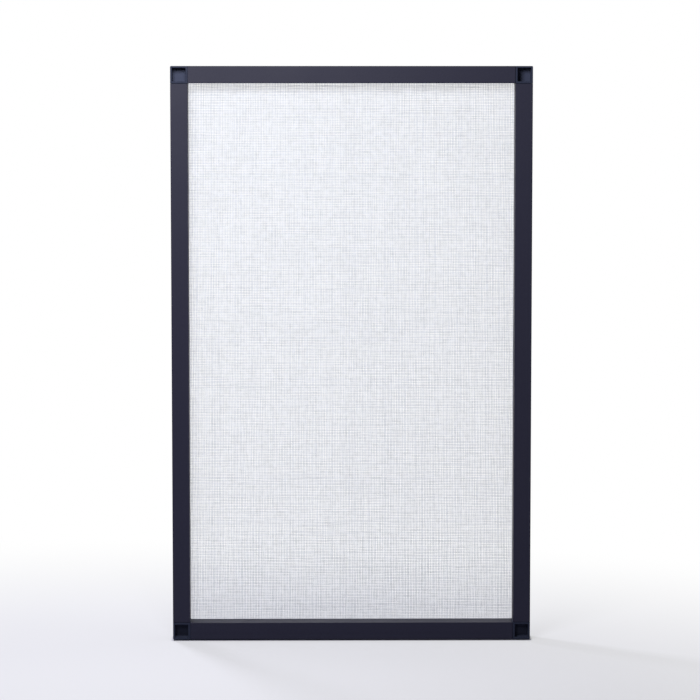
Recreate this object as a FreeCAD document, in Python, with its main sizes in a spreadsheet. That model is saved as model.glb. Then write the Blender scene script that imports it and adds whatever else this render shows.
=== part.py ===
import FreeCAD, Part
import Sketcher
import math
import os
from types import SimpleNamespace

# A window insect screen. Four hollow rails, cut square, push onto four moulded corner keys. A woven
# sheet lies on a lip at the back of the rails, and a round spline presses its edge into a groove.
# X runs along the width, Y from the front to the back and Z up. The origin is at the middle of the
# bottom edge, half way through the depth.

# The driving sizes in millimetres, and the counts.
SIZES = {
    # The frame and the rails' section
    "frame_width": 400,  # outside width
    "frame_height": 640,  # outside height
    "rail_face": 19,  # width of a rail, seen from the front
    "rail_depth": 27,  # depth of a rail, front to back
    "rail_wall": 1.3,  # wall of the extrusion
    "edge_radius": 0.3,  # rounding of the outer edges
    "corner_radius": 1.2,  # rounding of the outermost edge of a corner key
    "lip_step": 2,  # how far the mesh lip lies in front of the back face
    "lip_width": 1.8,  # width of the lip that the mesh lies on
    "groove_mouth": 3.6,  # width of the spline groove at its mouth
    "groove_width": 4.6,  # width of the spline groove at its floor
    "groove_depth": 5,  # depth of the spline groove below the lip
    "groove_web": 1.5,  # web between the groove and the main chamber
    # The corner keys
    "key_margin": 0.5,  # how far a key reaches past the inner edges of its rails
    "seam_gap": 0.1,  # gap between the end of a rail and a corner key
    "seam_line": 0.5,  # width of the shadow line along a key's front edge at each rail
    "seam_depth": 1.5,  # depth of that shadow line
    "pocket_wall": 2,  # wall round the front pocket
    "pocket_depth": 15,  # depth of the front pocket
    "pocket_floor": 2.2,  # web between the front pocket and the core behind it
    "pocket_radius": 0.4,  # rounding of the pocket's rim
    "core_wall": 2,  # wall between the core at the back and the groove
    "leg_length": 42,  # length of a leg
    "leg_clearance": 0.15,  # gap between a leg and the chamber that it fills
    "leg_wall": 1.8,  # side walls and cross ribs of a leg
    "leg_web": 2,  # web in the middle of a leg
    "leg_cells": 3,  # hollow cells along each side of a leg
    "leg_chamfer": 1.2,  # lead-in at the tip of a leg
    # The woven sheet and its spline
    "mesh_thickness": 0.45,  # thickness of the woven sheet
    "mesh_clearance": 0.05,  # gap between the tucked sheet and the groove
    "gap_columns": 8,  # open gaps across the sheet
    "gap_rows": 15,  # open gaps up the sheet
    "thread_band": 5,  # width of the woven band between two gaps
    "ridge_width": 3,  # width of the raised thread along a band
    "ridge_height": 0.6,  # height of the raised thread along a band
    "spline_clearance": 0.05,  # gap between the spline and the tucked sheet
}


class Size:
    """A length with its present value and the expression that gives it from the sheet."""

    def __init__(self, value, text):
        self.value = value
        self.text = text

    def __add__(self, other):
        other = as_size(other)
        return Size(self.value + other.value, f"({self.text} + {other.text})")

    def __sub__(self, other):
        other = as_size(other)
        return Size(self.value - other.value, f"({self.text} - {other.text})")

    def __mul__(self, other):
        other = as_size(other)
        return Size(self.value * other.value, f"({self.text} * {other.text})")

    def __truediv__(self, other):
        other = as_size(other)
        return Size(self.value / other.value, f"({self.text} / {other.text})")

    def __neg__(self):
        return Size(-self.value, f"(0 - {self.text})")


def as_size(number):
    return number if isinstance(number, Size) else Size(number, str(number))


doc = FreeCAD.newDocument("window_screen_frame")
sheet = doc.addObject("Spreadsheet::Sheet", "sizes")
for row, (alias, number) in enumerate(SIZES.items(), start=1):
    sheet.set(f"A{row}", alias.replace("_", " "))
    sheet.set(f"B{row}", str(number))
    sheet.setAlias(f"B{row}", alias)
doc.recompute()
size = SimpleNamespace(**{alias: Size(number, f"sizes.{alias}") for alias, number in SIZES.items()})

# Places that follow from the driving sizes. Across a rail they count from its outer edge inwards.
half_width = size.frame_width / 2
half_height = size.frame_height / 2
front_face = -(size.rail_depth / 2)
back_face = size.rail_depth / 2
lip_plane = back_face - size.lip_step
groove_floor = lip_plane - size.groove_depth
groove_flare = (size.groove_width - size.groove_mouth) / 2
mouth_inner = size.rail_face - size.lip_width
mouth_outer = mouth_inner - size.groove_mouth
chamber_front = front_face + size.rail_wall
chamber_back = groove_floor - size.groove_web
key_face = size.rail_face + size.key_margin
key_front = key_face - size.seam_line
rail_inset = key_face + size.seam_gap
tuck_inner = mouth_inner - size.mesh_clearance
tuck_outer = mouth_outer + size.mesh_clearance
tuck_floor = groove_floor + size.mesh_clearance
spline_room = (size.groove_mouth + size.groove_width) / 2 - (size.mesh_thickness + size.mesh_clearance) * 2
spline_diameter = spline_room - size.spline_clearance * 2
spline_axis = tuck_floor + size.mesh_thickness + size.spline_clearance + spline_diameter / 2
spline_centre = mouth_inner - size.groove_mouth / 2

# The turn of each side and of each corner about Y, and where its own origin goes.
SIDES = [
    ("bottom", 0, as_size(0), as_size(0), size.frame_width),
    ("right", -90, half_width, half_height, size.frame_height),
    ("top", 180, as_size(0), size.frame_height, size.frame_width),
    ("left", 90, -half_width, half_height, size.frame_height),
]
CORNERS = [
    ("bottom_left", 0, -half_width, as_size(0)),
    ("bottom_right", -90, half_width, as_size(0)),
    ("top_right", 180, half_width, size.frame_height),
    ("top_left", 90, -half_width, size.frame_height),
]


def new_body(label, turn, x, z):
    """An empty body at its place in the frame, turned about Y."""
    body = doc.addObject("PartDesign::Body", label)
    body.Label = label
    body.Placement.Rotation = FreeCAD.Rotation(FreeCAD.Vector(0, 1, 0), turn)
    body.setExpression("Placement.Base.x", x.text)
    body.setExpression("Placement.Base.z", z.text)
    return body


def origin_feature(body, role):
    return next(feature for feature in body.Origin.OriginFeatures if feature.Role == role)


def new_sketch(body, name, plane, offset):
    """A sketch on one of the body's own origin planes, moved along that plane's normal."""
    sketch = body.newObject("Sketcher::SketchObject", f"{body.Label}_{name}")
    sketch.AttachmentSupport = (origin_feature(body, plane), "")
    sketch.MapMode = "FlatFace"
    sketch.setExpression("AttachmentOffset.Base.z", as_size(offset).text)
    return sketch


def tie(sketch, kind, *place):
    """Adds a constraint whose last argument is a size, and binds it to the sheet."""
    length = as_size(place[-1])
    index = sketch.addConstraint(Sketcher.Constraint(kind, *place[:-1], length.value))
    sketch.setExpression(f"Constraints[{index}]", length.text)


def polygon(sketch, corners):
    """A closed outline whose corners are tied to sizes along the sketch's two axes."""
    places = [(as_size(across), as_size(up)) for across, up in corners]
    points = [FreeCAD.Vector(across.value, up.value, 0) for across, up in places]
    first = sketch.GeometryCount
    for start, end in zip(points, points[1:] + points[:1]):
        sketch.addGeometry(Part.LineSegment(start, end), False)
    for i, (across, up) in enumerate(places):
        following = first + (i + 1) % len(places)
        sketch.addConstraint(Sketcher.Constraint("Coincident", first + i, 2, following, 1))
        tie(sketch, "DistanceX", -1, 1, first + i, 1, across)
        tie(sketch, "DistanceY", -1, 1, first + i, 1, up)


def rectangle(sketch, left, right, bottom, top):
    polygon(sketch, [(left, bottom), (right, bottom), (right, top), (left, top)])


def circle(sketch, across, up, diameter):
    centre = FreeCAD.Vector(across.value, up.value, 0)
    index = sketch.addGeometry(Part.Circle(centre, FreeCAD.Vector(0, 0, 1), diameter.value / 2), False)
    tie(sketch, "DistanceX", -1, 1, index, 3, across)
    tie(sketch, "DistanceY", -1, 1, index, 3, up)
    tie(sketch, "Diameter", index, diameter)


def pad(body, sketch, name, length, symmetric=False, backwards=False):
    """Adds the sketch's outline, thickened along its normal, to the body."""
    feature = body.newObject("PartDesign::Pad", f"{body.Label}_{name}")
    feature.Profile = sketch
    feature.SideType = "Symmetric" if symmetric else "One side"
    feature.Reversed = backwards
    feature.setExpression("Length", length.text)
    doc.recompute()
    return feature


def pocket(body, sketch, name, depth, backwards=False):
    """Cuts the sketch's outline into the body and makes sure that something was cut."""
    before = body.Shape.Volume
    feature = body.newObject("PartDesign::Pocket", f"{body.Label}_{name}")
    feature.Profile = sketch
    feature.Reversed = backwards
    feature.setExpression("Length", depth.text)
    doc.recompute()
    if math.isclose(body.Shape.Volume, before):
        raise RuntimeError(f"{feature.Name} cuts nothing")
    return feature


def pattern(body, original, name, runs):
    """Repeats a feature along one or two of the body's axes, as (axis, spacing, count)."""
    feature = body.newObject("PartDesign::LinearPattern", f"{body.Label}_{name}")
    feature.Originals = [original]
    for ending, (axis, spacing, count) in zip(("", "2"), runs):
        setattr(feature, f"Direction{ending}", (origin_feature(body, axis), [""]))
        setattr(feature, f"Mode{ending}", "Extent")
        feature.setExpression(f"Length{ending}", (spacing * (count - 1)).text)
        feature.setExpression(f"Occurrences{ending}", count.text)
    body.Tip = feature
    doc.recompute()
    return feature


def edges_where(shape, wanted):
    """Names of the edges whose every end passes a test on its point."""
    ends = [[vertex.Point for vertex in edge.Vertexes] for edge in shape.Edges]
    return [f"Edge{i + 1}" for i, points in enumerate(ends) if all(wanted(p) for p in points)]


def near(number, length):
    return math.isclose(number, as_size(length).value, abs_tol=1e-6)


def dress(body, kind, name, base, edges, extent, length):
    """Rounds or chamfers the named edges of a feature."""
    feature = body.newObject(f"PartDesign::{kind}", f"{body.Label}_{name}")
    feature.Base = (base, edges)
    feature.setExpression(extent, length.text)
    doc.recompute()
    return feature


def make_rail(side, turn, x, z, outside):
    """One rail: a hollow extrusion with a lip and a flared spline groove along its inner edge."""
    body = new_body(f"{side}_rail", turn, x, z)
    section = new_sketch(body, "section", "YZ_Plane", 0)
    polygon(section, [
        (front_face, 0),
        (front_face, size.rail_face),
        (lip_plane, size.rail_face),
        (lip_plane, mouth_inner),
        (groove_floor, mouth_inner + groove_flare),
        (groove_floor, mouth_outer - groove_flare),
        (lip_plane, mouth_outer),
        (back_face, mouth_outer),
        (back_face, 0),
    ])
    rectangle(section, chamber_front, chamber_back, size.rail_wall, size.rail_face - size.rail_wall)
    rectangle(section, groove_floor, back_face - size.rail_wall,
              size.rail_wall, mouth_outer - groove_flare - size.rail_wall)
    bar = pad(body, section, "extrusion", outside - rail_inset * 2, symmetric=True)

    def outer_corner(point):
        front = near(point.y, front_face) and (near(point.z, 0) or near(point.z, size.rail_face))
        return front or (near(point.y, back_face) and near(point.z, 0))

    long_edges = [name for name in edges_where(bar.Shape, outer_corner)
                  if near(bar.Shape.getElement(name).Length, outside - rail_inset * 2)]
    dress(body, "Fillet", "rounding", bar, long_edges, "Radius", size.edge_radius)
    return body


def add_leg(body, name, plane, swap):
    """Adds one leg of a corner key, which fills the main chamber of the rail pushed onto it."""
    low = size.rail_wall + size.leg_clearance
    high = size.rail_face - size.rail_wall - size.leg_clearance
    front = chamber_front + size.leg_clearance
    back = chamber_back - size.leg_clearance
    section = new_sketch(body, f"{name}_section", plane, key_face)
    if swap:
        rectangle(section, low, high, front, back)
    else:
        rectangle(section, front, back, low, high)
    leg = pad(body, section, name, size.leg_length)
    tip = key_face + size.leg_length
    tip_edges = edges_where(leg.Shape, lambda p: near(p.z if swap else p.x, tip))
    dress(body, "Chamfer", f"{name}_lead_in", leg, tip_edges, "Size", size.leg_chamfer)

    cell = (size.leg_length - size.leg_wall * (size.leg_cells + 1)) / size.leg_cells
    start = key_face + size.leg_wall
    depth = (back - front - size.leg_web) / 2
    for face, level, backwards in (("front", front, False), ("back", back, True)):
        outline = new_sketch(body, f"{name}_{face}_cell_outline", "XZ_Plane", -level)
        if swap:
            rectangle(outline, low + size.leg_wall, high - size.leg_wall, start, start + cell)
        else:
            rectangle(outline, start, start + cell, low + size.leg_wall, high - size.leg_wall)
        hollow = pocket(body, outline, f"{name}_{face}_cell", depth, backwards)
        axis = "Z_Axis" if swap else "X_Axis"
        pattern(body, hollow, f"{name}_{face}_cells", [(axis, cell + size.leg_wall, size.leg_cells)])


def make_corner(corner, turn, x, z):
    """One corner key: a block with an open front pocket and two legs, the same moulding four times."""
    body = new_body(f"corner_{corner}", turn, x, z)
    square = new_sketch(body, "block_outline", "XZ_Plane", 0)
    rectangle(square, 0, key_face, 0, key_face)
    block = pad(body, square, "block", size.rail_depth, symmetric=True)

    def outer_edge(point):
        return near(point.x, 0) and near(point.z, 0)

    def front_edge(point):
        return near(point.y, front_face)

    dress(body, "Fillet", "outer_corner", block, edges_where(block.Shape, outer_edge),
          "Radius", size.corner_radius)
    seam = new_sketch(body, "seam_outline", "XZ_Plane", -front_face)
    polygon(seam, [
        (key_front, 0),
        (key_face, 0),
        (key_face, key_face),
        (0, key_face),
        (0, key_front),
        (key_front, key_front),
    ])
    stepped = pocket(body, seam, "seam", size.seam_depth)
    dress(body, "Fillet", "rounding", stepped, edges_where(stepped.Shape, front_edge),
          "Radius", size.edge_radius)

    opening = new_sketch(body, "pocket_outline", "XZ_Plane", -front_face)
    far_wall = key_front - size.pocket_wall
    rectangle(opening, size.pocket_wall, far_wall, size.pocket_wall, far_wall)
    hollow = pocket(body, opening, "pocket", size.pocket_depth)

    def rim(point):
        beside = near(point.x, size.pocket_wall) or near(point.x, far_wall)
        return beside and near(point.y, front_face)

    dress(body, "Fillet", "rim", hollow, edges_where(hollow.Shape, rim), "Radius", size.pocket_radius)

    core = new_sketch(body, "core_outline", "XZ_Plane", -back_face)
    core_end = mouth_outer - size.core_wall
    rectangle(core, size.pocket_wall, core_end, size.pocket_wall, core_end)
    pocket(body, core, "core", size.rail_depth - size.pocket_depth - size.pocket_floor, backwards=True)

    step = new_sketch(body, "lip_outline", "XZ_Plane", -back_face)
    rectangle(step, mouth_inner, key_face, mouth_inner, key_face)
    pocket(body, step, "lip", size.lip_step, backwards=True)

    turn_outline = new_sketch(body, "groove_outline", "XZ_Plane", -back_face)
    polygon(turn_outline, [
        (mouth_outer, mouth_outer),
        (key_face, mouth_outer),
        (key_face, mouth_inner),
        (mouth_inner, mouth_inner),
        (mouth_inner, key_face),
        (mouth_outer, key_face),
    ])
    pocket(body, turn_outline, "groove", size.lip_step + size.groove_depth, backwards=True)

    add_leg(body, "level_leg", "YZ_Plane", swap=False)
    add_leg(body, "upright_leg", "XY_Plane", swap=True)
    return body


def tuck_section(edge, inwards):
    """The sheet's edge, folded round the spline in the groove, as (depth, place across the frame)."""
    def across(inset):
        return edge + inset * inwards

    rear = lip_plane + size.mesh_thickness
    floor = tuck_floor + size.mesh_thickness
    return [
        (rear, across(tuck_inner)),
        (lip_plane, across(tuck_inner)),
        (tuck_floor, across(tuck_inner + groove_flare)),
        (tuck_floor, across(tuck_outer - groove_flare)),
        (lip_plane, across(tuck_outer)),
        (lip_plane, across(tuck_outer + size.mesh_thickness)),
        (floor, across(tuck_outer - groove_flare + size.mesh_thickness)),
        (floor, across(tuck_inner + groove_flare - size.mesh_thickness)),
        (lip_plane, across(tuck_inner - size.mesh_thickness)),
        (rear, across(tuck_inner - size.mesh_thickness)),
    ]


def make_mesh():
    """The woven sheet: one thin wall with open gaps, raised threads and an edge tucked in all round."""
    body = new_body("insect_mesh", 0, as_size(0), as_size(0))
    overlap = tuck_inner - size.mesh_thickness
    panel = new_sketch(body, "panel_outline", "XZ_Plane", -lip_plane)
    rectangle(panel, overlap - half_width, half_width - overlap, overlap, size.frame_height - overlap)
    pad(body, panel, "panel", size.mesh_thickness, backwards=True)

    for name, edge, inwards in (("bottom", as_size(0), 1), ("top", size.frame_height, -1)):
        section = new_sketch(body, f"{name}_tuck_section", "YZ_Plane", 0)
        polygon(section, tuck_section(edge, inwards))
        pad(body, section, f"{name}_tuck", size.frame_width - rail_inset * 2, symmetric=True)
    for name, edge, inwards in (("left", -half_width, 1), ("right", half_width, -1)):
        section = new_sketch(body, f"{name}_tuck_section", "XY_Plane", half_height)
        polygon(section, [(across, depth) for depth, across in tuck_section(edge, inwards)])
        pad(body, section, f"{name}_tuck", size.frame_height - rail_inset * 2, symmetric=True)

    open_width = size.frame_width - size.rail_face * 2
    open_height = size.frame_height - size.rail_face * 2
    across = open_width / size.gap_columns
    up = open_height / size.gap_rows
    left = size.rail_face - half_width

    upright = new_sketch(body, "upright_thread_section", "XY_Plane", half_height)
    polygon(upright, [
        (left + across - size.ridge_width / 2, lip_plane),
        (left + across, lip_plane - size.ridge_height),
        (left + across + size.ridge_width / 2, lip_plane),
    ])
    warp = pad(body, upright, "upright_thread", open_height - size.thread_band, symmetric=True)
    pattern(body, warp, "upright_threads", [("X_Axis", across, size.gap_columns - 1)])

    level = new_sketch(body, "level_thread_section", "YZ_Plane", 0)
    rear = lip_plane + size.mesh_thickness
    polygon(level, [
        (rear, size.rail_face + up - size.ridge_width / 2),
        (rear, size.rail_face + up + size.ridge_width / 2),
        (rear + size.ridge_height, size.rail_face + up),
    ])
    weft = pad(body, level, "level_thread", open_width - size.thread_band, symmetric=True)
    pattern(body, weft, "level_threads", [("Z_Axis", up, size.gap_rows - 1)])

    margin = size.thread_band / 2
    outline = new_sketch(body, "gap_outline", "XZ_Plane", -lip_plane)
    rectangle(outline, left + margin, left + across - margin,
              size.rail_face + margin, size.rail_face + up - margin)
    gap = pocket(body, outline, "gap", size.mesh_thickness)
    pattern(body, gap, "gaps", [("X_Axis", across, size.gap_columns), ("Z_Axis", up, size.gap_rows)])
    return body


def make_spline(side, turn, x, z, outside):
    """One length of round spline. The level ones run on into the corners and stop the upright ones."""
    body = new_body(f"{side}_spline", turn, x, z)
    section = new_sketch(body, "section", "YZ_Plane", 0)
    circle(section, spline_axis, spline_centre, spline_diameter)
    level_end = mouth_outer + size.spline_clearance
    upright_end = spline_centre + spline_diameter / 2 + size.spline_clearance
    end = level_end if side in ("bottom", "top") else upright_end
    pad(body, section, "cord", outside - end * 2, symmetric=True)
    return body


def check_and_write(bodies):
    """Stops if anything failed to build, and then writes one file for each piece."""
    doc.recompute()
    for item in doc.Objects:
        if "Invalid" in item.State or "Error" in item.State:
            raise RuntimeError(f"{item.Name} failed: {item.State}")
    for body in bodies:
        if body.Shape.isNull() or not body.Shape.isValid() or len(body.Shape.Solids) != 1:
            raise RuntimeError(f"{body.Label} is not one sound solid")
    os.makedirs("parts", exist_ok=True)
    for body in bodies:
        body.Shape.exportStep(f"parts/{body.Label}.step")
        print(body.Label, f"{body.Shape.Volume:.1f} cubic mm")


pieces = [make_rail(*side) for side in SIDES]
pieces += [make_corner(*corner) for corner in CORNERS]
pieces += [make_mesh()]
pieces += [make_spline(*side) for side in SIDES]
check_and_write(pieces)
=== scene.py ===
# %% [markdown]
# # A framed window insect screen
# The real thing is four hollow aluminium rails that push onto four moulded corner keys, with a woven sheet
# held in a groove at the back by a soft cord, the spline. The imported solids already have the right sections
# and places, so this lesson loads them, gives each surface its finish, weaves the sheet from single threads,
# and lights the result like a small studio picture. Everything is in metres, in the solids' own frame:
# +X to the right, +Y from the front to the back, +Z up.

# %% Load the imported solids
import math
import random

import bpy
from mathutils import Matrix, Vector


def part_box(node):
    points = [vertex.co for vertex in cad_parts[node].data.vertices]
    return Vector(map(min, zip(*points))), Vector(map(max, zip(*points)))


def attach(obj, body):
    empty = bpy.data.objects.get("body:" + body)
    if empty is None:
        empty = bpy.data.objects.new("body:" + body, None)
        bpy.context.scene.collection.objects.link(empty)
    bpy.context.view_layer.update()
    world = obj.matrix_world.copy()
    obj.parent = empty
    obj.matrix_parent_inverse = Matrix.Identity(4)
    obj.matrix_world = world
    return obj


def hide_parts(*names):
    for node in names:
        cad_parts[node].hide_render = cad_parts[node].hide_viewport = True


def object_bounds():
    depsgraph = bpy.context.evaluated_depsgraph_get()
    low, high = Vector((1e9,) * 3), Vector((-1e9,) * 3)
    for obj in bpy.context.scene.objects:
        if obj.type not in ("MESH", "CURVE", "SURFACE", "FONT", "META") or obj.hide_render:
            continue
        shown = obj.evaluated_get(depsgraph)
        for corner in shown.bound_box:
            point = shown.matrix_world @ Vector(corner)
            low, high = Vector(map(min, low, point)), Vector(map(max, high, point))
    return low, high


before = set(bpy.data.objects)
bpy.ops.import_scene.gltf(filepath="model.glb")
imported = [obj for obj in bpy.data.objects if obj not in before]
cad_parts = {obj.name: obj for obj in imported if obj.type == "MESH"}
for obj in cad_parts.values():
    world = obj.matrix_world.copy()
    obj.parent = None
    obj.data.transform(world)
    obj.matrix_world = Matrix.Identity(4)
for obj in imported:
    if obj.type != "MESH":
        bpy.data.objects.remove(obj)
CAD_LOW, CAD_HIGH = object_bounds()
MM = 0.001
print("solids:", len(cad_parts), "in a box", [round(v / MM, 1) for v in CAD_HIGH - CAD_LOW], "mm")

# %% [markdown]
# ## The camera
# A picture of a flat frame shows its perspective in two places: the small difference between the widths of
# the top and the bottom, and how much of the inside faces can be seen. Here the top rail shows no top face
# and the bottom rail shows a thin strip of its inner face, so the lens stands level with the top edge and
# looks a little down. A long lens keeps the sides nearly parallel. The camera is aimed by angles rather
# than by a target, because a small yaw is part of the view.

# %% Camera
IMAGE_PX = 700
FOCAL_PX = 3000
SENSOR_MM = 36.0
CAMERA_PLACE = Vector((-0.0339, -3.3322, 0.6343))
CAMERA_PITCH = math.radians(-5.31)
CAMERA_YAW = math.radians(-0.554)

camera_data = bpy.data.cameras.new("camera")
camera_data.sensor_width = SENSOR_MM
camera_data.lens = SENSOR_MM * FOCAL_PX / IMAGE_PX
camera = bpy.data.objects.new("camera", camera_data)
camera.location = CAMERA_PLACE
camera.rotation_euler = (math.radians(90) + CAMERA_PITCH, 0.0, CAMERA_YAW)
bpy.context.scene.collection.objects.link(camera)
bpy.context.scene.camera = camera
print("lens:", round(camera_data.lens, 1), "mm at", round(-CAMERA_PLACE.y, 2), "m")

# %% [markdown]
# ## Helpers for finishes
# Every finish starts from one shader whose plain numbers are set on its own sockets, and varies colour,
# roughness and height by noise. Noise could be laid on unwrapped faces, but an extruded rail has no need of
# that: the solids' own coordinates are in metres, so a noise scale of one over the spot's size gives grain
# of that size on every face, with no seam at the edges.

# %% Finish helpers
def start_finish(name, **sockets):
    """A node material whose shader has these sockets set, and its coordinates in metres."""
    finish = bpy.data.materials.new(name)
    finish.use_nodes = True
    shader = finish.node_tree.nodes["Principled BSDF"]
    for socket, value in sockets.items():
        shader.inputs[socket.replace("_", " ")].default_value = value
    place = finish.node_tree.nodes.new("ShaderNodeTexCoord").outputs["Object"]
    return finish, shader, place


def add_node(finish, kind, **sockets):
    """A node of that kind with its inputs set: a plain value is written and an output is linked."""
    node = finish.node_tree.nodes.new(kind)
    for socket, value in sockets.items():
        target = node.inputs[socket.replace("_", " ")]
        if isinstance(value, bpy.types.NodeSocket):
            finish.node_tree.links.new(value, target)
        else:
            target.default_value = value
    return node


def grain(finish, place, spot, detail=2.0):
    """Noise with spots about this many metres across, as a value from 0 to 1."""
    return add_node(finish, "ShaderNodeTexNoise", Vector=place, Scale=1 / spot, Detail=detail).outputs["Fac"]


def between(finish, fac, low, high, edges=(0.3, 0.7)):
    """Maps a value between two edges to a range of plain numbers, as for roughness."""
    node = add_node(finish, "ShaderNodeMapRange", Value=fac, To_Min=low, To_Max=high)
    node.inputs["From Min"].default_value = edges[0]
    node.inputs["From Max"].default_value = edges[1]
    return node.outputs["Result"]


def tones(finish, fac, *stops):
    """Maps noise to colours: each stop is a place from 0 to 1 and a linear colour."""
    ramp = add_node(finish, "ShaderNodeValToRGB", Fac=fac)
    elements = ramp.color_ramp.elements
    while len(elements) < len(stops):
        elements.new(0.5)
    for element, (place, colour) in zip(elements, stops):
        element.position = place
        element.color = (*colour, 1.0)
    return ramp.outputs["Color"]


def raise_surface(finish, shader, height, depth, strength, under=None):
    """Gives the shader small hills of this depth in metres, over an earlier bump if there is one."""
    bump = add_node(finish, "ShaderNodeBump", Height=height, Distance=depth, Strength=strength)
    if under is not None:
        finish.node_tree.links.new(under, bump.inputs["Normal"])
    finish.node_tree.links.new(bump.outputs["Normal"], shader.inputs["Normal"])
    return bump.outputs["Normal"]


def shade(nodes, finish):
    """Gives carried-over solids a finish in place of their plain one."""
    for name in nodes:
        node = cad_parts[name]
        node.data.materials.clear()
        node.data.materials.append(finish)
    print(finish.name, "on", ", ".join(nodes))


# %% [markdown]
# ## Powder-coated rails
# The rails are aluminium with a baked powder coat: charcoal, satin, and very slightly rippled like the skin
# of an orange, because the powder flows only a little before it sets. A picture of such a surface could be
# wrapped round the rails, but three noises do the same at any distance. The finest is the speckle of the
# powder, the next is the ripple, and a slow third one varies the gloss, which keeps long faces from looking
# printed.

# %% Rails
COAT_DARK = (0.007, 0.007, 0.019)
COAT_MAIN = (0.010, 0.010, 0.024)
COAT_PALE = (0.014, 0.014, 0.029)
COAT_GLOSS = 0.15
COAT_ROUGHNESS = (0.48, 0.54)
RIPPLE_SIZE = 1.6 * MM
RIPPLE_DEPTH = 0.03 * MM
RIPPLE_STRENGTH = 0.5
SPECKLE_SIZE = 0.35 * MM
SPECKLE_DEPTH = 0.01 * MM
SPECKLE_STRENGTH = 0.4
CLOUD_SIZE = 60 * MM
RAILS = ("top_rail", "bottom_rail", "left_rail", "right_rail")

coat, coat_shader, coat_place = start_finish("charcoal_powder_coat", Specular_IOR_Level=COAT_GLOSS)
ripple = grain(coat, coat_place, RIPPLE_SIZE)
speckle = grain(coat, coat_place, SPECKLE_SIZE)
cloud = grain(coat, coat_place, CLOUD_SIZE, detail=3.0)
coat_tone = tones(coat, speckle, (0.3, COAT_DARK), (0.5, COAT_MAIN), (0.72, COAT_PALE))
coat.node_tree.links.new(coat_tone, coat_shader.inputs["Base Color"])
coat.node_tree.links.new(between(coat, cloud, *COAT_ROUGHNESS), coat_shader.inputs["Roughness"])
ripple_bump = raise_surface(coat, coat_shader, ripple, RIPPLE_DEPTH, RIPPLE_STRENGTH)
raise_surface(coat, coat_shader, speckle, SPECKLE_DEPTH, SPECKLE_STRENGTH, under=ripple_bump)
shade(RAILS, coat)

# %% [markdown]
# ## Moulded corner keys
# Each corner is one piece of injection-moulded plastic: a block with an open pocket in front, and two legs
# that hide in the rails. The plastic is bluer than the coat. Moulds for such keys are spark eroded, which
# leaves a fine even grain, and the melt's flow leaves faint clouds of gloss. The front rims are a shade
# darker than the walls of the pockets, and the same dark tones reach back over the floors of the narrow seams
# beside the rails, where they are painted shade. The depth behind the front face, which the solids'
# coordinates give, shifts the grain's tones.

# %% Corner keys
# The two rim tones also cover the seam floors 1.5 mm back beside the rails, where they are painted shade.
RIM_AND_SEAM_SHADE_DARK = (0.014, 0.017, 0.033)
RIM_AND_SEAM_SHADE_PALE = (0.028, 0.033, 0.057)
WALL_DARK = (0.027, 0.033, 0.061)
WALL_PALE = (0.051, 0.058, 0.096)
RIM_AND_SEAM_SHADE_DEPTH = 1.7 * MM
RIM_AND_SEAM_SHADE_FADE = 0.8 * MM
MOULD_GLOSS = 0.04
MOULD_ROUGHNESS = (0.44, 0.54)
SPARK_SIZE = 0.25 * MM
SPARK_DEPTH = 0.012 * MM
SPARK_STRENGTH = 0.6
SPARK_SHARE = 0.5
FLOW_SIZE = 9 * MM
CORNERS = tuple(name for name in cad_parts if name.startswith("corner_"))

mould, mould_shader, mould_place = start_finish("navy_moulded_plastic", Specular_IOR_Level=MOULD_GLOSS)
spark = grain(mould, mould_place, SPARK_SIZE, detail=3.0)
flow = grain(mould, mould_place, FLOW_SIZE)
front_to_back = add_node(mould, "ShaderNodeSeparateXYZ", Vector=mould_place).outputs["Y"]
# Painted shade: the seam floors lie within this depth, so they take the dark rim tones.
rim_and_seam_shade_end = CAD_LOW.y + RIM_AND_SEAM_SHADE_DEPTH
behind_rim_and_seam_shade = between(mould, front_to_back, 0.0, 1 - SPARK_SHARE, edges=(rim_and_seam_shade_end, rim_and_seam_shade_end + RIM_AND_SEAM_SHADE_FADE))
grain_tone = add_node(mould, "ShaderNodeMath")
grain_tone.operation = "MULTIPLY_ADD"
mould.node_tree.links.new(spark, grain_tone.inputs[0])
grain_tone.inputs[1].default_value = SPARK_SHARE
mould.node_tree.links.new(behind_rim_and_seam_shade, grain_tone.inputs[2])
mould_tone = tones(
    mould, grain_tone.outputs["Value"],
    (0.15, RIM_AND_SEAM_SHADE_DARK), (0.35, RIM_AND_SEAM_SHADE_PALE), (0.65, WALL_DARK), (0.85, WALL_PALE),
)
mould.node_tree.links.new(mould_tone, mould_shader.inputs["Base Color"])
mould.node_tree.links.new(between(mould, flow, *MOULD_ROUGHNESS), mould_shader.inputs["Roughness"])
raise_surface(mould, mould_shader, spark, SPARK_DEPTH, SPARK_STRENGTH)
shade(CORNERS, mould)

# %% [markdown]
# ## Vinyl spline
# The spline is a soft extruded cord, pressed into the groove with a small wheel. It is matt, a little dusty,
# and the wheel leaves it slightly uneven along its length.

# %% Splines
VINYL_DARK = (0.018, 0.018, 0.020)
VINYL_PALE = (0.042, 0.042, 0.045)
VINYL_GLOSS = 0.35
VINYL_ROUGHNESS = (0.55, 0.72)
DUST_SIZE = 0.6 * MM
DUST_DEPTH = 0.02 * MM
DUST_STRENGTH = 0.5
PRESS_SIZE = 4 * MM
PRESS_DEPTH = 0.12 * MM
PRESS_STRENGTH = 0.5
SPLINES = ("top_spline", "bottom_spline", "left_spline", "right_spline")

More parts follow.
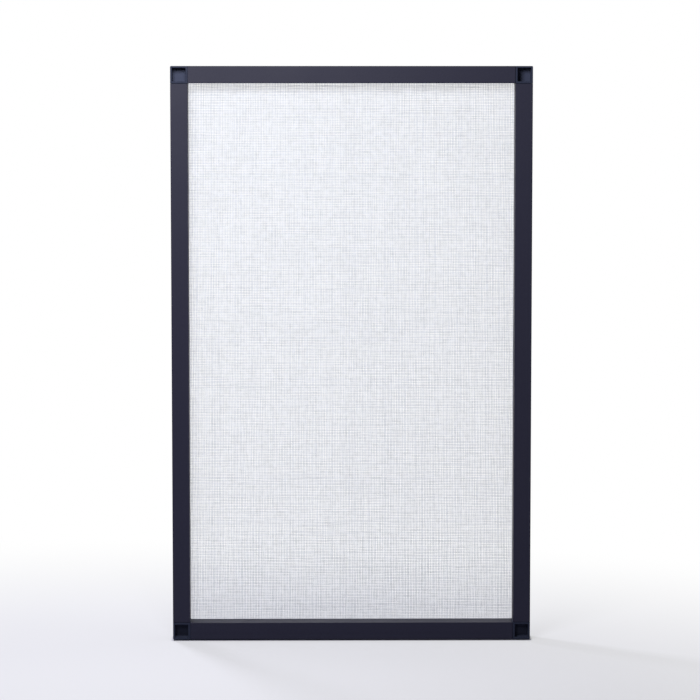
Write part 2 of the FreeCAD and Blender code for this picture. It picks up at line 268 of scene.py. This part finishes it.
vinyl, vinyl_shader, vinyl_place = start_finish("grey_vinyl_cord", Specular_IOR_Level=VINYL_GLOSS)
dust = grain(vinyl, vinyl_place, DUST_SIZE, detail=4.0)
pressed = grain(vinyl, vinyl_place, PRESS_SIZE)
vinyl_tone = tones(vinyl, dust, (0.3, VINYL_DARK), (0.75, VINYL_PALE))
vinyl.node_tree.links.new(vinyl_tone, vinyl_shader.inputs["Base Color"])
vinyl.node_tree.links.new(between(vinyl, dust, *VINYL_ROUGHNESS), vinyl_shader.inputs["Roughness"])
pressed_bump = raise_surface(vinyl, vinyl_shader, pressed, PRESS_DEPTH, PRESS_STRENGTH)
raise_surface(vinyl, vinyl_shader, dust, DUST_DEPTH, DUST_STRENGTH, under=pressed_bump)
shade(SPLINES, vinyl)

# %% [markdown]
# ## Where the sheet runs
# The sheet lies flat over the lips at the back of the rails. At each side it turns down the inner wall of the
# groove, under the spline and up the outer wall, where it was trimmed. One short path describes that fold:
# how far from the middle of the screen a thread is, and how deep, for a distance measured along the cut
# sheet. Both sets of threads use it twice: every thread in the middle bends through it at its two ends, and
# the threads at the sides lie along it.

# %% The fold at the sheet's edges
PITCH = 1.75 * MM
THREAD = 0.45 * MM
LIP_STEP = 2.0 * MM
MOUTH = 3.6 * MM
WELD = 0.2 * THREAD

spline_low, spline_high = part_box("right_spline")
tuck_low, tuck_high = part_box("insect_mesh")
RUN_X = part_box("top_rail")[1].x
MIDDLE_Z = (CAD_LOW.z + CAD_HIGH.z) / 2
FLAT_Y = CAD_HIGH.y - LIP_STEP + THREAD / 2 + WELD
GROOVE = (spline_low.x + spline_high.x) / 2
FOLD = (
    (GROOVE - MOUTH / 2 + THREAD / 2, FLAT_Y),
    (2 * GROOVE - tuck_high.x + THREAD / 2, tuck_low.y + THREAD / 2),
    (tuck_high.x - THREAD / 2, tuck_low.y + THREAD / 2),
    (GROOVE + MOUTH / 2 - THREAD / 2, FLAT_Y - THREAD),
)
TALLER = (CAD_HIGH.z - CAD_LOW.z - CAD_HIGH.x + CAD_LOW.x) / 2
RUN_Z = RUN_X + TALLER
FOLD_STEPS = [math.dist(a, b) for a, b in zip(FOLD, FOLD[1:])]
CUT_X = FOLD[0][0] + sum(FOLD_STEPS)
CUT_Z = CUT_X + TALLER
print("sheet cut to", round(2 * CUT_X / MM, 1), "by", round(2 * CUT_Z / MM, 1), "mm")


def folded(distance, extra):
    """Where a point this far along the cut sheet from its middle ends up: across and depth."""
    side = math.copysign(1.0, distance)
    left = abs(distance) - FOLD[0][0] - extra
    if left <= 0:
        return distance, FLAT_Y
    for start, end, step in zip(FOLD, FOLD[1:], FOLD_STEPS):
        if left <= step:
            share = left / step
            across = start[0] + (end[0] - start[0]) * share + extra
            return side * across, start[1] + (end[1] - start[1]) * share
        left -= step
    return side * (FOLD[-1][0] + extra), FOLD[-1][1]


# %% [markdown]
# ## Weaving the sheet
# The yarn is glass fibre in a grey plastic coat, and heat welds the crossings, so the sheet is two layers of
# threads that sink a little into each other. A picture of a weave on a plane would be lighter, but
# light could not pass between the threads, and the open half of the sheet is what one sees through. So each
# thread is a smooth-shaded tube with closed ends. Four sides are enough at half a millimetre, and leave
# room for more points along each thread. Stretching the sheet by hand shifts the threads: whole areas
# drift together by part of a pitch, and each thread strays a little by itself, wanders from point to point
# and is not quite as thick as the next.

# %% Threads
TUBE_SIDES = 4
UPRIGHT_POINTS = 41
LEVEL_POINTS = 25
STRAY = 0.10 * MM
WANDER = 0.26 * MM
THICKNESS_SPREAD = 0.15
# Each slow wave of the sheet: its size, its width across the threads, its length along them and its start.
DRIFTS = (
    (0.22 * MM, 43 * MM, 190 * MM, 0.4),
    (0.18 * MM, 29 * MM, 130 * MM, 2.1),
    (0.25 * MM, 83 * MM, 310 * MM, 4.0),
)
yarn_luck = random.Random(17)


def drift(along, across):
    """How far this area of the sheet has slipped sideways, in metres."""
    waves = (
        size * math.sin(2 * math.pi * across / width + start) * math.cos(2 * math.pi * along / length + start)
        for size, width, length, start in DRIFTS
    )
    return sum(waves)


def lay_tube(vertices, faces, path, side, radius):
    """Adds a closed tube along a path. side points across the threads, where a path hardly bends."""
    first = len(vertices)
    for i, point in enumerate(path):
        ahead = path[min(i + 1, len(path) - 1)] - path[max(i - 1, 0)]
        up = side.cross(ahead).normalized()
        for corner in range(TUBE_SIDES):
            turn = 2 * math.pi * corner / TUBE_SIDES
            vertices.append(point + radius * (math.cos(turn) * side + math.sin(turn) * up))
    for ring in range(len(path) - 1):
        for corner in range(TUBE_SIDES):
            a = first + ring * TUBE_SIDES + corner
            b = first + ring * TUBE_SIDES + (corner + 1) % TUBE_SIDES
            faces.append((a, b, b + TUBE_SIDES, a + TUBE_SIDES))
    last = first + (len(path) - 1) * TUBE_SIDES
    faces.append(tuple(first + corner for corner in reversed(range(TUBE_SIDES))))
    faces.append(tuple(last + corner for corner in range(TUBE_SIDES)))


def thread_stops(along_extra, run, points, tucked):
    """Distances along one thread where its path has a point."""
    if not tucked:
        return [run * (2 * i / (points - 1) - 1) for i in range(points)]
    flat = FOLD[0][0] + along_extra
    stops = [flat * (2 * i / (points - 1) - 1) for i in range(points)]
    reach = flat
    for step in FOLD_STEPS:
        reach += step
        stops.append(reach)
        stops.insert(0, -reach)
    return stops


def weave(cut, across_extra, along_extra, along_run, tuck_within, points, layer, place):
    """The vertices, faces and number of one set's threads. place turns across, depth, along into a point."""
    vertices = []
    faces = []
    side = place(1.0, 0.0, 0.0) - place(0.0, 0.0, 0.0)
    count = 2 * int(cut / PITCH) + 1
    for index in range(count):
        cut_place = (index - count // 2) * PITCH
        across, depth = folded(cut_place, across_extra)
        tucked = abs(cut_place) <= tuck_within
        stray = yarn_luck.uniform(-STRAY, STRAY)
        radius = THREAD / 2 * (1 + yarn_luck.uniform(-THICKNESS_SPREAD, THICKNESS_SPREAD))
        path = []
        for stop in thread_stops(along_extra, along_run, points, tucked):
            along, fold_depth = folded(stop, along_extra) if tucked else (stop, depth)
            wander = yarn_luck.uniform(-WANDER, WANDER)
            slip = drift(along, cut_place) + stray + wander if tucked else 0.0
            path.append(place(across + slip, fold_depth + layer, along))
        lay_tube(vertices, faces, path, side, radius)
    return vertices, faces, count


upright_points, upright_faces, upright_count = weave(
    CUT_X, 0.0, TALLER, RUN_Z, RUN_X, UPRIGHT_POINTS, -WELD,
    lambda across, depth, along: Vector((across, depth, MIDDLE_Z + along)),
)
level_points, level_faces, level_count = weave(
    CUT_Z, TALLER, 0.0, RUN_X, RUN_Z, LEVEL_POINTS, WELD,
    lambda across, depth, along: Vector((along, depth, MIDDLE_Z + across)),
)
print("threads:", upright_count, "upright and", level_count, "level")

# %% [markdown]
# ## The yarn's finish
# Coated yarn is a pale cool grey and half matt. Along each thread the coat is a little thicker and thinner,
# and dust dulls it in places, so the tone and the roughness follow one noise, and a finer one gives the twist
# of the fibres. The coat lets some light through, which is why a screen with a bright wall behind it looks
# paler than its yarn does in the hand.

# %% The sheet as one piece
YARN_DARK = (0.45, 0.48, 0.55)
YARN_PALE = (0.64, 0.67, 0.76)
YARN_GLOSS = 0.4
YARN_ROUGHNESS = (0.40, 0.60)
LIGHT_THROUGH = 0.8
LIGHT_REACH = (1.0, 1.0, 1.0)
LUMP_SIZE = 5 * MM
TWIST_DEPTH = 0.03 * MM
TWIST_STRENGTH = 0.5

yarn, yarn_shader, yarn_place = start_finish(
    "coated_yarn", Specular_IOR_Level=YARN_GLOSS,
    Subsurface_Weight=LIGHT_THROUGH, Subsurface_Radius=LIGHT_REACH, Subsurface_Scale=THREAD,
)
lumps = grain(yarn, yarn_place, LUMP_SIZE, detail=4.0)
twist = grain(yarn, yarn_place, THREAD)
yarn_tone = tones(yarn, lumps, (0.3, YARN_DARK), (0.7, YARN_PALE))
yarn.node_tree.links.new(yarn_tone, yarn_shader.inputs["Base Color"])
yarn.node_tree.links.new(between(yarn, lumps, *YARN_ROUGHNESS), yarn_shader.inputs["Roughness"])
raise_surface(yarn, yarn_shader, twist, TWIST_DEPTH, TWIST_STRENGTH)

level_first = len(upright_points)
sheet_data = bpy.data.meshes.new("woven_sheet")
sheet_data.from_pydata(
    [tuple(point) for point in upright_points + level_points],
    [],
    upright_faces + [tuple(corner + level_first for corner in face) for face in level_faces],
)
sheet_data.polygons.foreach_set("use_smooth", [True] * len(sheet_data.polygons))
sheet_data.materials.append(yarn)
woven_sheet = bpy.data.objects.new("woven_sheet", sheet_data)
bpy.context.scene.collection.objects.link(woven_sheet)
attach(woven_sheet, "root")
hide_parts("insect_mesh")
print("woven sheet:", len(sheet_data.polygons), "faces")

# %% [markdown]
# ## Floor and background
# The screen stands on a pale sweep that runs out into white. A curved wall would do that for one view only,
# and would stand in front of the camera in views from behind, so the floor is one wide flat disc. Its
# material mixes matt paper, which takes the shadow, with plain white at a strength of one, which only rays
# from the camera or from a reflection see. Round the screen each has half, further out the white takes over,
# and the world above is the same white. Right under the rails there is paper alone, and the disc lies a hair
# lower than they do, because a frame never sits down on its whole edge: a thin dark line shows where it
# stands.

# %% Floor and world
FLOOR_RADIUS = 14.0
FLOOR_SIDES = 96
FLOOR_GAP = 1.2 * MM
FOOT = (CAD_HIGH - CAD_LOW) / 2
FOOT_EDGE = 3 * MM
FLOOR_TONE = (0.49, 0.49, 0.58, 1.0)
FLOOR_ROUGHNESS = 0.9
FLOOR_GLOSS = 0.1
WHITE_CENTRE = (-0.20, -0.45, 0.0)
WHITE_NEAR = 0.50
WHITE_FROM = 0.40
WHITE_FULL = 1.20
AMBIENT = 0.12
AMBIENT_TONE = (0.96, 0.97, 1.0, 1.0)
PLAIN_WHITE = (1.0, 1.0, 1.0, 1.0)


def seen_directly(tree):
    """1 for rays from the camera, a reflection or a clear material, and 0 for the rest."""
    rays = tree.nodes.new("ShaderNodeLightPath")
    total = rays.outputs["Is Camera Ray"]
    for name in ("Is Glossy Ray", "Is Transmission Ray"):
        either = tree.nodes.new("ShaderNodeMath")
        either.operation = "MAXIMUM"
        tree.links.new(total, either.inputs[0])
        tree.links.new(rays.outputs[name], either.inputs[1])
        total = either.outputs[0]
    return total


def vector_step(finish, operation, vector, other=(0.0, 0.0, 0.0)):
    """One step of arithmetic on a vector, with a fixed second vector where the operation takes one."""
    node = add_node(finish, "ShaderNodeVectorMath", Vector=vector)
    node.operation = operation
    node.inputs[1].default_value = other
    return node


def mix_by(tree, share, plain, white, output):
    """Joins two shaders by a share and sends the result to the output."""
    mix = tree.nodes.new("ShaderNodeMixShader")
    tree.links.new(share, mix.inputs["Fac"])
    tree.links.new(plain, mix.inputs[1])
    tree.links.new(white, mix.inputs[2])
    tree.links.new(mix.outputs["Shader"], output.inputs["Surface"])


paper, paper_shader, paper_place = start_finish(
    "pale_sweep", Base_Color=FLOOR_TONE, Roughness=FLOOR_ROUGHNESS, Specular_IOR_Level=FLOOR_GLOSS,
)
from_axes = vector_step(paper, "ABSOLUTE", paper_place)
past_edges = vector_step(paper, "SUBTRACT", from_axes.outputs["Vector"], FOOT)
outside = vector_step(paper, "MAXIMUM", past_edges.outputs["Vector"])
from_foot = vector_step(paper, "LENGTH", outside.outputs["Vector"]).outputs["Value"]
from_centre = vector_step(paper, "DISTANCE", paper_place, WHITE_CENTRE).outputs["Value"]
near_white = between(paper, from_foot, 0.0, WHITE_NEAR, edges=(0.0, FOOT_EDGE))
far_white = between(paper, from_foot, 0.0, 1.0, edges=(0.0, FOOT_EDGE))
fade = add_node(paper, "ShaderNodeMapRange", Value=from_centre, To_Min=near_white, To_Max=far_white)
fade.interpolation_type = "SMOOTHSTEP"
fade.inputs["From Min"].default_value = WHITE_FROM
fade.inputs["From Max"].default_value = WHITE_FULL
fade_seen = paper.node_tree.nodes.new("ShaderNodeMath")
fade_seen.operation = "MULTIPLY"
paper.node_tree.links.new(fade.outputs["Result"], fade_seen.inputs[0])
paper.node_tree.links.new(seen_directly(paper.node_tree), fade_seen.inputs[1])
glow = paper.node_tree.nodes.new("ShaderNodeEmission")
mix_by(
    paper.node_tree, fade_seen.outputs[0], paper_shader.outputs["BSDF"], glow.outputs["Emission"],
    paper.node_tree.nodes["Material Output"],
)

floor_place = (0.0, 0.0, CAD_LOW.z - FLOOR_GAP)
bpy.ops.mesh.primitive_circle_add(
    vertices=FLOOR_SIDES, radius=FLOOR_RADIUS, fill_type="NGON", location=floor_place,
)
floor = bpy.context.object
floor.name = "floor"
floor.data.materials.append(paper)

world = bpy.data.worlds.new("studio")
bpy.context.scene.world = world
world.use_nodes = True
sky_tree = world.node_tree
ambient = sky_tree.nodes["Background"]
ambient.inputs["Color"].default_value = AMBIENT_TONE
ambient.inputs["Strength"].default_value = AMBIENT
white = sky_tree.nodes.new("ShaderNodeBackground")
white.inputs["Color"].default_value = PLAIN_WHITE
mix_by(
    sky_tree, seen_directly(sky_tree), ambient.outputs["Background"], white.outputs["Background"],
    sky_tree.nodes["World Output"],
)
print("floor at", round(floor_place[2] / MM, 2), "mm, white from", WHITE_FULL, "m out")

# %% [markdown]
# ## Lights
# Four soft lights do the work. The main one is a small oblong softbox, near the screen in front of its upper
# left corner. It is turned past that corner, so its light falls off to the right and downwards as it does in
# a small studio, and it puts a narrow soft shadow under the upper edge of each pocket. A weaker one far back
# beside the camera reaches into the lower pockets. A wide one straight above lights the floor and the upper
# faces. The last is small and stands behind the screen on the left: it lifts the threads from behind and
# draws faint shadows towards the camera.

# %% Softboxes
# Each light: its name, where it stands, what it points at, its width and height, and its power in watts.
LIGHTS = (
    ("front_softbox", (-0.22, -0.80, 0.88), (-0.49, 0.0, 0.80), (0.40, 0.26), 11.5),
    ("far_softbox", (-0.60, -2.90, 1.43), (0.0, 0.0, 0.32), (0.30, 0.30), 10.5),
    ("overhead_softbox", (-0.05, 0.0, 1.60), (-0.05, 0.0, 0.0), (1.0, 0.6), 7.5),
    ("rear_softbox", (-0.45, 0.55, 1.05), (0.0, 0.0, 0.25), (0.15, 0.15), 8.0),
)
for light_name, place, target, (width, height), power in LIGHTS:
    light_data = bpy.data.lights.new(light_name, "AREA")
    light_data.shape = "RECTANGLE"
    light_data.size = width
    light_data.size_y = height
    light_data.energy = power
    light = bpy.data.objects.new(light_name, light_data)
    light.location = place
    light.rotation_euler = (Vector(target) - Vector(place)).to_track_quat("-Z", "Y").to_euler()
    bpy.context.scene.collection.objects.link(light)
    print(light_name, power, "W,", width, "m wide")

# %% [markdown]
# The plain display transform keeps the written colours.

# %% Finish
bpy.context.scene.view_settings.view_transform = "Standard"
